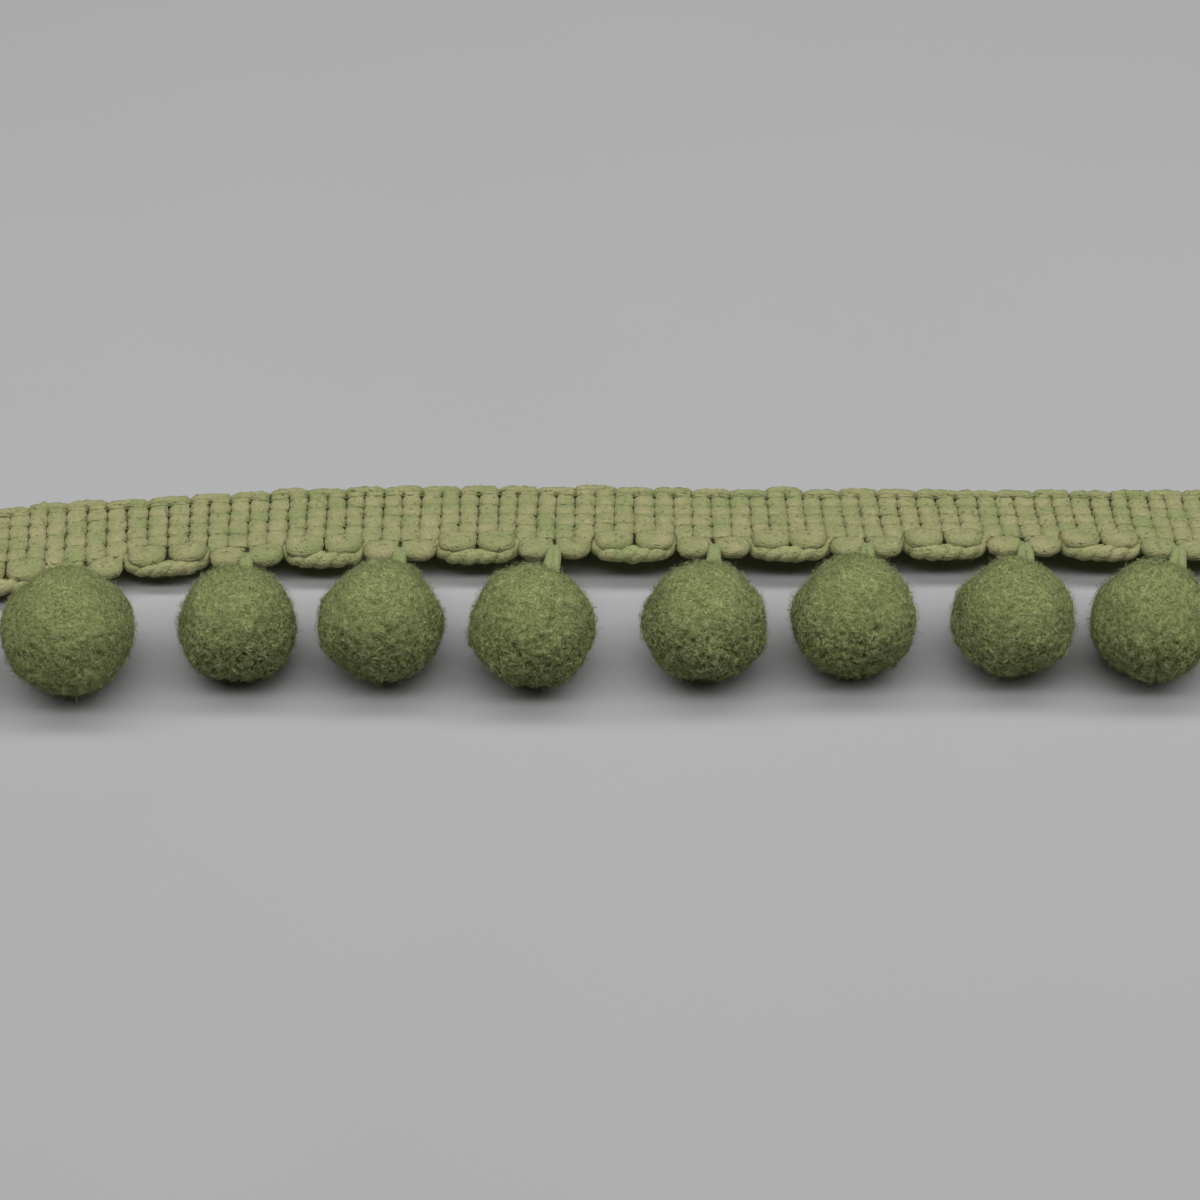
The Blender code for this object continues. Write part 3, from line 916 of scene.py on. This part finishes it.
def repeat_row(number):
    return {name: REPEAT[name][number - 1] for name in REPEAT_COLUMNS}


def pompom_centre(row):
    return np.array([row["pompom_x"], row["pompom_y"], row["radius"] - FLAT_SPOT_DEPTH])


LOOP_TOP_BACK = 0.65  # mm from the lower edge up the band
LEG_KNOTS = ((2.3, -0.3), (1.5, 0.2), (0.6, 0.3))  # from the lower edge, over the band
LEG_RADIUS = (0.46, 0.55)  # at the header, in the ball
LEG_NOISE = ((0.02, 1.5, 200),)
LEG_GAP_AT_HEADER = 0.44  # between the legs' centre lines
LEG_GAPS = np.array([1.0, 1.0, 1.1, 2.0, 2.6])  # shares of it along the route
LEG_POINTS = 26
LEG_SEAT, LEG_INSIDE = 0.1, 1.6  # mm out of the ball and into it
LOOP_AIM = 0.4  # of the way from the ball's x to the loop's


def loop_top(row):
    x = row["loop_x"]
    return band_point(x, band_width(x) - LOOP_TOP_BACK)[0]


def build_loop(number, finish):
    """The two smooth legs of a hanger loop, out of the notch and into the ball."""
    row = repeat_row(number)
    centre = pompom_centre(row)
    x = row["loop_x"]
    width = band_width(x)
    knots = [band_point(x, width - back, lift)[0] for back, lift in LEG_KNOTS]
    aim = centre + [LOOP_AIM * (x - centre[0]), 0.0, 0.0]
    towards = unit(aim - knots[-1])
    sideways = unit(np.cross(towards, [0.0, 0.0, 1.0]))
    seat = aim - towards * (row["radius"] + LEG_SEAT)
    inside = aim - towards * (row["radius"] - LEG_INSIDE)
    gaps = LEG_GAPS * LEG_GAP_AT_HEADER * row["legs_apart"]
    parts = []
    for side in (-1, 1):
        route = np.array([*knots, seat, inside]) + side * sideways * gaps[:, None] / 2
        places = distances_along(route)
        fine = np.linspace(0, places[-1], LEG_POINTS)
        centres = side_by_side(*(smooth_curve(fine, places, column) for column in route.T))
        radius = LEG_RADIUS[0] + (LEG_RADIUS[1] - LEG_RADIUS[0]) * fine / places[-1]
        radius = radius * (1 + layered_noise(centres, LEG_NOISE, number))
        up = np.broadcast_to(unit(np.cross(sideways, towards)), centres.shape)
        parts.append(sweep(centres, up, radius, radius, 1.0, TUBE_SIDES))
    points, faces, uv = join(parts)
    return mesh_object("hanger_loop_yarn_%02d" % number, points, faces, finish, uv)


# ---- pompoms

UNDERSIDE = unit(np.array([0.0, -0.85, -0.5]))  # where balls are drawn in
BALL_SUBDIVISIONS = 6
BALL_SEED = 500
BALL_INSET = 0.05  # mm, of the pile's base
LUMPS = ((0.12, 5.5, 300),)  # height, size, seed
MATTED_LUMPS = ((0.055, 1.8, 320), (0.05, 0.8, 340))
PITS = ((0.7, 1.5, 380), (0.7, 0.7, 400))
PIT_LEVEL, PIT_DEPTH = 0.9, 0.16  # noise where a pit starts; mm
MATTED_LEAST, MATTED_MORE = 0.35, 1.05  # of the lumps, and more at the underside
UNDERSIDE_REACH, TUCKED_REACH = 70, 42  # degrees
NECK_AIM = 0.35  # of the way from the loop's x to the ball's
NECK_UP, NECK_REACH = 1.0, 30  # mm over the loop's top; degrees
HOLLOW_AT, HOLLOW_REACH, HOLLOW_SHARE = 62, 22, 0.2  # degrees from the neck
SMOOTH_REACH, SMOOTH_SHARE = 40, 0.6  # degrees from the neck
PILE_ROUGHNESS = 0.055  # mm
BALL_TONE = 0.33
LUMP_PAINTED_SHADE = ((0.05, 0.8, 340),)  # painted shade: tone that follows the 0.8 mm lumps, darker in their hollows; height of the tone, with size and seed as those lumps
SIDE_SPECKLE_PAINTED_SHADE, BALL_PIT_PAINTED_SHADE = 0.24, 0.24  # painted shade: how uneven the sides are painted, where light grazes them, and how dark their pits are painted
SIDE_PAINTED_SHADE = 0.08  # painted shade: how much darker all of it is painted off the top, where less light falls
SIDES_FROM, SIDES_FULL = -0.9, -0.1  # downward part of a direction
SHADE_FROM, SHADE_FULL = -1.0, -0.5
GRAIN_LEAST, GRAIN_BY_MATTED = 0.5, 0.2  # on top
SIDE_GRAIN_BY_MATTED, SIDE_GRAIN = 0.7, -0.35  # what the sides add to it

FELT_FIBRES = 7900
LONG_FIBRES = 0.32  # share that stand well off the ball
DRAWN_OVER, DRAWN_LEAST = 0.26, 0.3  # share that lie long, painted light as glints
STAND_MEAN, STAND_MOST = 0.15, 0.5  # mm off the ball
STAND_MORE = (0.1, 0.5)  # mm more for the long ones
HALF_LENGTHS, STAND_SHORTENS = (0.12, 0.40), 2.5
DRAWN_LONGER, DRAWN_THICKER, DRAWN_BENT = 0.6, 0.35, 1.5
FIBRE_BEND = (-0.15, 0.15)
FIBRE_ROOT = (-0.10, 0.0)  # mm over the ball
FIBRE_MIDDLE, FIBRE_TIP = (0.4, 0.9), (0.0, 1.4)  # shares of how far it stands
TIP_DOWN = 0.03  # mm
FIBRE_RADII, STAND_THINNER = (0.013, 0.028), 0.25
# painted light: drawn-over and standing fibres are painted lighter, as glints
FIBRE_TONES, LIGHTEST_GLINT = (0.3, 1.0), 0.5


def on_sides(directions):
    """0 at the top of a ball and 1 on its sides and under it, where its pile lies rougher."""
    return smooth_step(-directions[:, 2], SIDES_FROM, SIDES_FULL)


def painted_side_shade(directions):
    """Painted shade: how much darker the pile is painted, not on top, and fully on the sides."""
    return SIDE_PAINTED_SHADE * smooth_step(-directions[:, 2], SHADE_FROM, SHADE_FULL)


def grain_on(directions, matted):
    """How strong the fine grain is: soft on top, and strong on the sides of a matted ball."""
    on_top = GRAIN_LEAST + GRAIN_BY_MATTED * matted
    return on_top + on_sides(directions) * (SIDE_GRAIN_BY_MATTED * matted + SIDE_GRAIN)


def pits_in(ball, number):
    """How far the pile goes in: 0 outside its pits."""
    return np.maximum(0, layered_noise(ball, PITS, number) - PIT_LEVEL)


def degrees_from(directions, axis):
    return np.degrees(np.arccos(np.clip(directions @ axis, -1, 1)))


def felt_radius(directions, row, number):
    """Radius of the felted ball by direction: soft lumps and matted pits, drawn out to its loop
    and drawn in under its front."""
    ball = directions * row["radius"]
    neck = loop_top(row) + [NECK_AIM * (row["pompom_x"] - row["loop_x"]), 0.0, NECK_UP]
    angle = degrees_from(directions, unit(neck - pompom_centre(row)))
    under = degrees_from(directions, UNDERSIDE)
    lumps = layered_noise(ball, LUMPS, number)
    matted = layered_noise(ball, MATTED_LUMPS, number) - PIT_DEPTH * pits_in(ball, number)
    matted = matted * (MATTED_LEAST + MATTED_MORE * row["matted"] * bell(under, 0, UNDERSIDE_REACH))
    smoother = 1 - SMOOTH_SHARE * bell(angle, 0, SMOOTH_REACH)
    drawn = bell(angle, 0, NECK_REACH) - HOLLOW_SHARE * bell(angle, HOLLOW_AT, HOLLOW_REACH)
    tucked = row["tucked_in"] * bell(under, 0, TUCKED_REACH)
    return row["radius"] - BALL_INSET + lumps + matted * smoother + row["drawn_out"] * drawn - tucked


def felt_fibres(row, number, rng):
    """Short matted fibres that lie on the ball any way round, some of them standing off it."""
    count = FELT_FIBRES
    directions = unit(rng.normal(size=(count, 3)))
    base = felt_radius(directions, row, number)
    lie = unit(np.cross(directions, rng.normal(size=directions.shape)))
    stand = np.minimum(rng.exponential(STAND_MEAN, count), STAND_MOST)
    stand += (rng.random(count) < LONG_FIBRES) * rng.uniform(*STAND_MORE, count)
    drawn_over = rng.random(count) < DRAWN_OVER * (DRAWN_LEAST + on_sides(directions) * row["matted"])
    half = rng.uniform(*HALF_LENGTHS, count) / (1 + STAND_SHORTENS * stand) + DRAWN_LONGER * drawn_over
    along = lie * half[:, None]
    bend = rng.uniform(*FIBRE_BEND, count) * (1 + DRAWN_BENT * drawn_over)
    across = np.cross(directions, lie) * bend[:, None]

    def on_ball(offset, over):
        place = unit(directions * row["radius"] + offset)
        return pompom_centre(row) + place * (base + over)[:, None]

    first = on_ball(-along, rng.uniform(*FIBRE_ROOT, count))
    middle = on_ball(across, stand * rng.uniform(*FIBRE_MIDDLE, count))
    last = on_ball(along, stand * rng.uniform(*FIBRE_TIP, count) - TIP_DOWN)
    radius = rng.uniform(*FIBRE_RADII, count) * (1 - STAND_THINNER * np.minimum(1, 2 * stand))
    points, faces = spindles(first, middle, last, radius * (1 + DRAWN_THICKER * drawn_over))
    # painted glints: fibres lying long over the ball or standing off it are lighter
    light = np.minimum(LIGHTEST_GLINT, LIGHTEST_GLINT * drawn_over + stand)
    # painted shade on the fibres: darker off the top of the ball
    tone = rng.uniform(*FIBRE_TONES, count) + light - painted_side_shade(directions)
    grain = grain_on(directions, row["matted"])
    return points, faces, np.repeat(tone, SPINDLE_POINTS), np.repeat(grain, SPINDLE_POINTS)


def ball_sphere():
    """Directions of a fine sphere's points, and its faces."""
    shape = bmesh.new()
    bmesh.ops.create_icosphere(shape, subdivisions=BALL_SUBDIVISIONS, radius=1.0)
    directions = unit(np.array([vert.co for vert in shape.verts]))
    faces = np.array([[vert.index for vert in face.verts] for face in shape.faces])
    shape.free()
    return directions, faces


def build_pompom(number, finish):
    """A felted ball with its matted pile, pressed flat where it rests."""
    row = repeat_row(number)
    rng = np.random.default_rng(BALL_SEED + number)
    directions, faces = ball_sphere()
    smooth_ball = directions * row["radius"]
    radius = felt_radius(directions, row, number) + PILE_ROUGHNESS * rng.normal(size=len(directions))
    ball = pompom_centre(row) + directions * radius[:, None]
    # painted shade: pits darker and speckle uneven only on the sides, where light grazes
    pits = SIDE_SPECKLE_PAINTED_SHADE * rng.normal(size=len(directions)) - BALL_PIT_PAINTED_SHADE * pits_in(smooth_ball, number)
    pits = pits * (on_sides(directions) * row["matted"])
    # painted shade: darker in the lumps' hollows and off the top of the ball
    tone = BALL_TONE + layered_noise(smooth_ball, LUMP_PAINTED_SHADE, number) + pits - painted_side_shade(directions)
    fibres, fibre_faces, fibre_tone, fibre_grain = felt_fibres(row, number, rng)
    points = np.concatenate([ball, fibres])
    return mesh_object(
        "pompom_pile_%02d" % number, points, [faces, fibre_faces + len(ball)], finish,
        lowest=BALL_LOWEST,
        tone=np.concatenate([tone, fibre_tone]),
        roughness=np.concatenate([grain_on(directions, row["matted"]), fibre_grain]),
    )


# ---- stage and view

CAMERA_TARGET = (1.15, -4.77, 6.0)  # mm
CAMERA_ELEVATION = math.radians(50)
CAMERA_DISTANCE = 276.5  # mm
CAMERA_LENS, CAMERA_SENSOR = 85, 36  # mm
CAMERA_NEAREST = 0.01  # metres, as the rest here
LIGHT_DISTANCE = 0.45
LIGHTS = {  # degrees towards the camera and +X, length, width, watts
    "back_strip": (-11.5, 2.0, 1.09, 0.094, 1.97),
    "front_strip": (14.0, 2.0, 1.28, 0.090, 1.80),
}
WORLD_LIGHT = 0.006
FLOOR_HALF, FLOOR_HEIGHT = 1.5, -0.0001


def build_stage():
    mesh = bpy.data.meshes.new("floor")
    half, z = FLOOR_HALF, FLOOR_HEIGHT
    corners = [(-half, -half, z), (half, -half, z), (half, half, z), (-half, half, z)]
    mesh.from_pydata(corners, [], [(0, 1, 2, 3)])
    mesh.materials.append(floor_material())
    place_object("floor", mesh)


def build_lights():
    for name, (towards_camera, towards_right, length, width, power) in LIGHTS.items():
        lamp = bpy.data.lights.new(name, "AREA")
        lamp.shape = "RECTANGLE"
        lamp.size, lamp.size_y = length, width
        lamp.energy = power
        light = place_object(name, lamp)
        light.rotation_euler = (math.radians(towards_camera), math.radians(towards_right), 0.0)
        light.location = light.rotation_euler.to_matrix().col[2] * LIGHT_DISTANCE
        light.visible_camera = False


def build_world():
    world = bpy.data.worlds.new("studio")
    world.use_nodes = True
    background = world.node_tree.nodes["Background"]
    background.inputs["Color"].default_value = (1.0, 1.0, 1.0, 1.0)
    background.inputs["Strength"].default_value = WORLD_LIGHT
    bpy.context.scene.world = world
    bpy.context.scene.view_settings.view_transform = "Standard"


def build_camera():
    camera_data = bpy.data.cameras.new("camera")
    camera_data.lens = CAMERA_LENS
    camera_data.sensor_width = CAMERA_SENSOR
    camera_data.clip_start = CAMERA_NEAREST
    camera = place_object("camera", camera_data)
    x, y, z = (value * MM for value in CAMERA_TARGET)
    back = CAMERA_DISTANCE * MM * math.cos(CAMERA_ELEVATION)
    up = CAMERA_DISTANCE * MM * math.sin(CAMERA_ELEVATION)
    camera.location = (x, y - back, z + up)
    camera.rotation_euler = (math.pi / 2 - CAMERA_ELEVATION, 0.0, 0.0)
    bpy.context.scene.camera = camera


def build_header():
    """The woven band's pieces: its weft, the weft's fuzz, its warp threads and its inner layer, a dark
    sheet of painted shade.
    """
    yarn_finish = yarn_material("header_yarn", HEADER_GREEN, HEADER_BEIGE)
    weft = finish_piece(build_weft(yarn_finish), "header_yarn")
    weft_fuzz = finish_piece(build_weft_fuzz(weft, yarn_finish), "header_yarn")
    warp = finish_piece(build_warp(thread_material("warp_thread", THREAD_GREEN)), "header_yarn")
    # painted shade: the inner sheet is coloured as the shade seen between the ribs and lobes
    core = build_core(thread_material("painted_shade_core", CORE_PAINTED_SHADE))
    return weft, weft_fuzz, warp, finish_piece(core, "header_yarn", "braid_header")


def build_trim():
    weft, weft_fuzz, warp, core = build_header()
    # painted light: the cord's yarn is the header's yarn made lighter
    cord_finish = yarn_material("scallop_cord", CORD_PAINTED_LIGHT_GREEN, CORD_PAINTED_LIGHT_BEIGE)
    loop_finish = yarn_material("loop_cord", LOOP_GREEN, LOOP_GREEN)
    pile_finish = pile_material("pompom_pile")
    for number in range(1, REPEATS + 1):
        cord = build_cord(number, cord_finish)
        finish_piece(cord, "scallop_cord", "scallop_cord_%02d" % number)
        loop = build_loop(number, loop_finish)
        finish_piece(loop, "loop_cord", "hanger_loop_%02d" % number)
        ball = build_pompom(number, pile_finish)
        finish_piece(ball, "pompom_pile", "pompom_%02d" % number)


build_camera()
build_stage()
build_lights()
build_world()
build_trim()
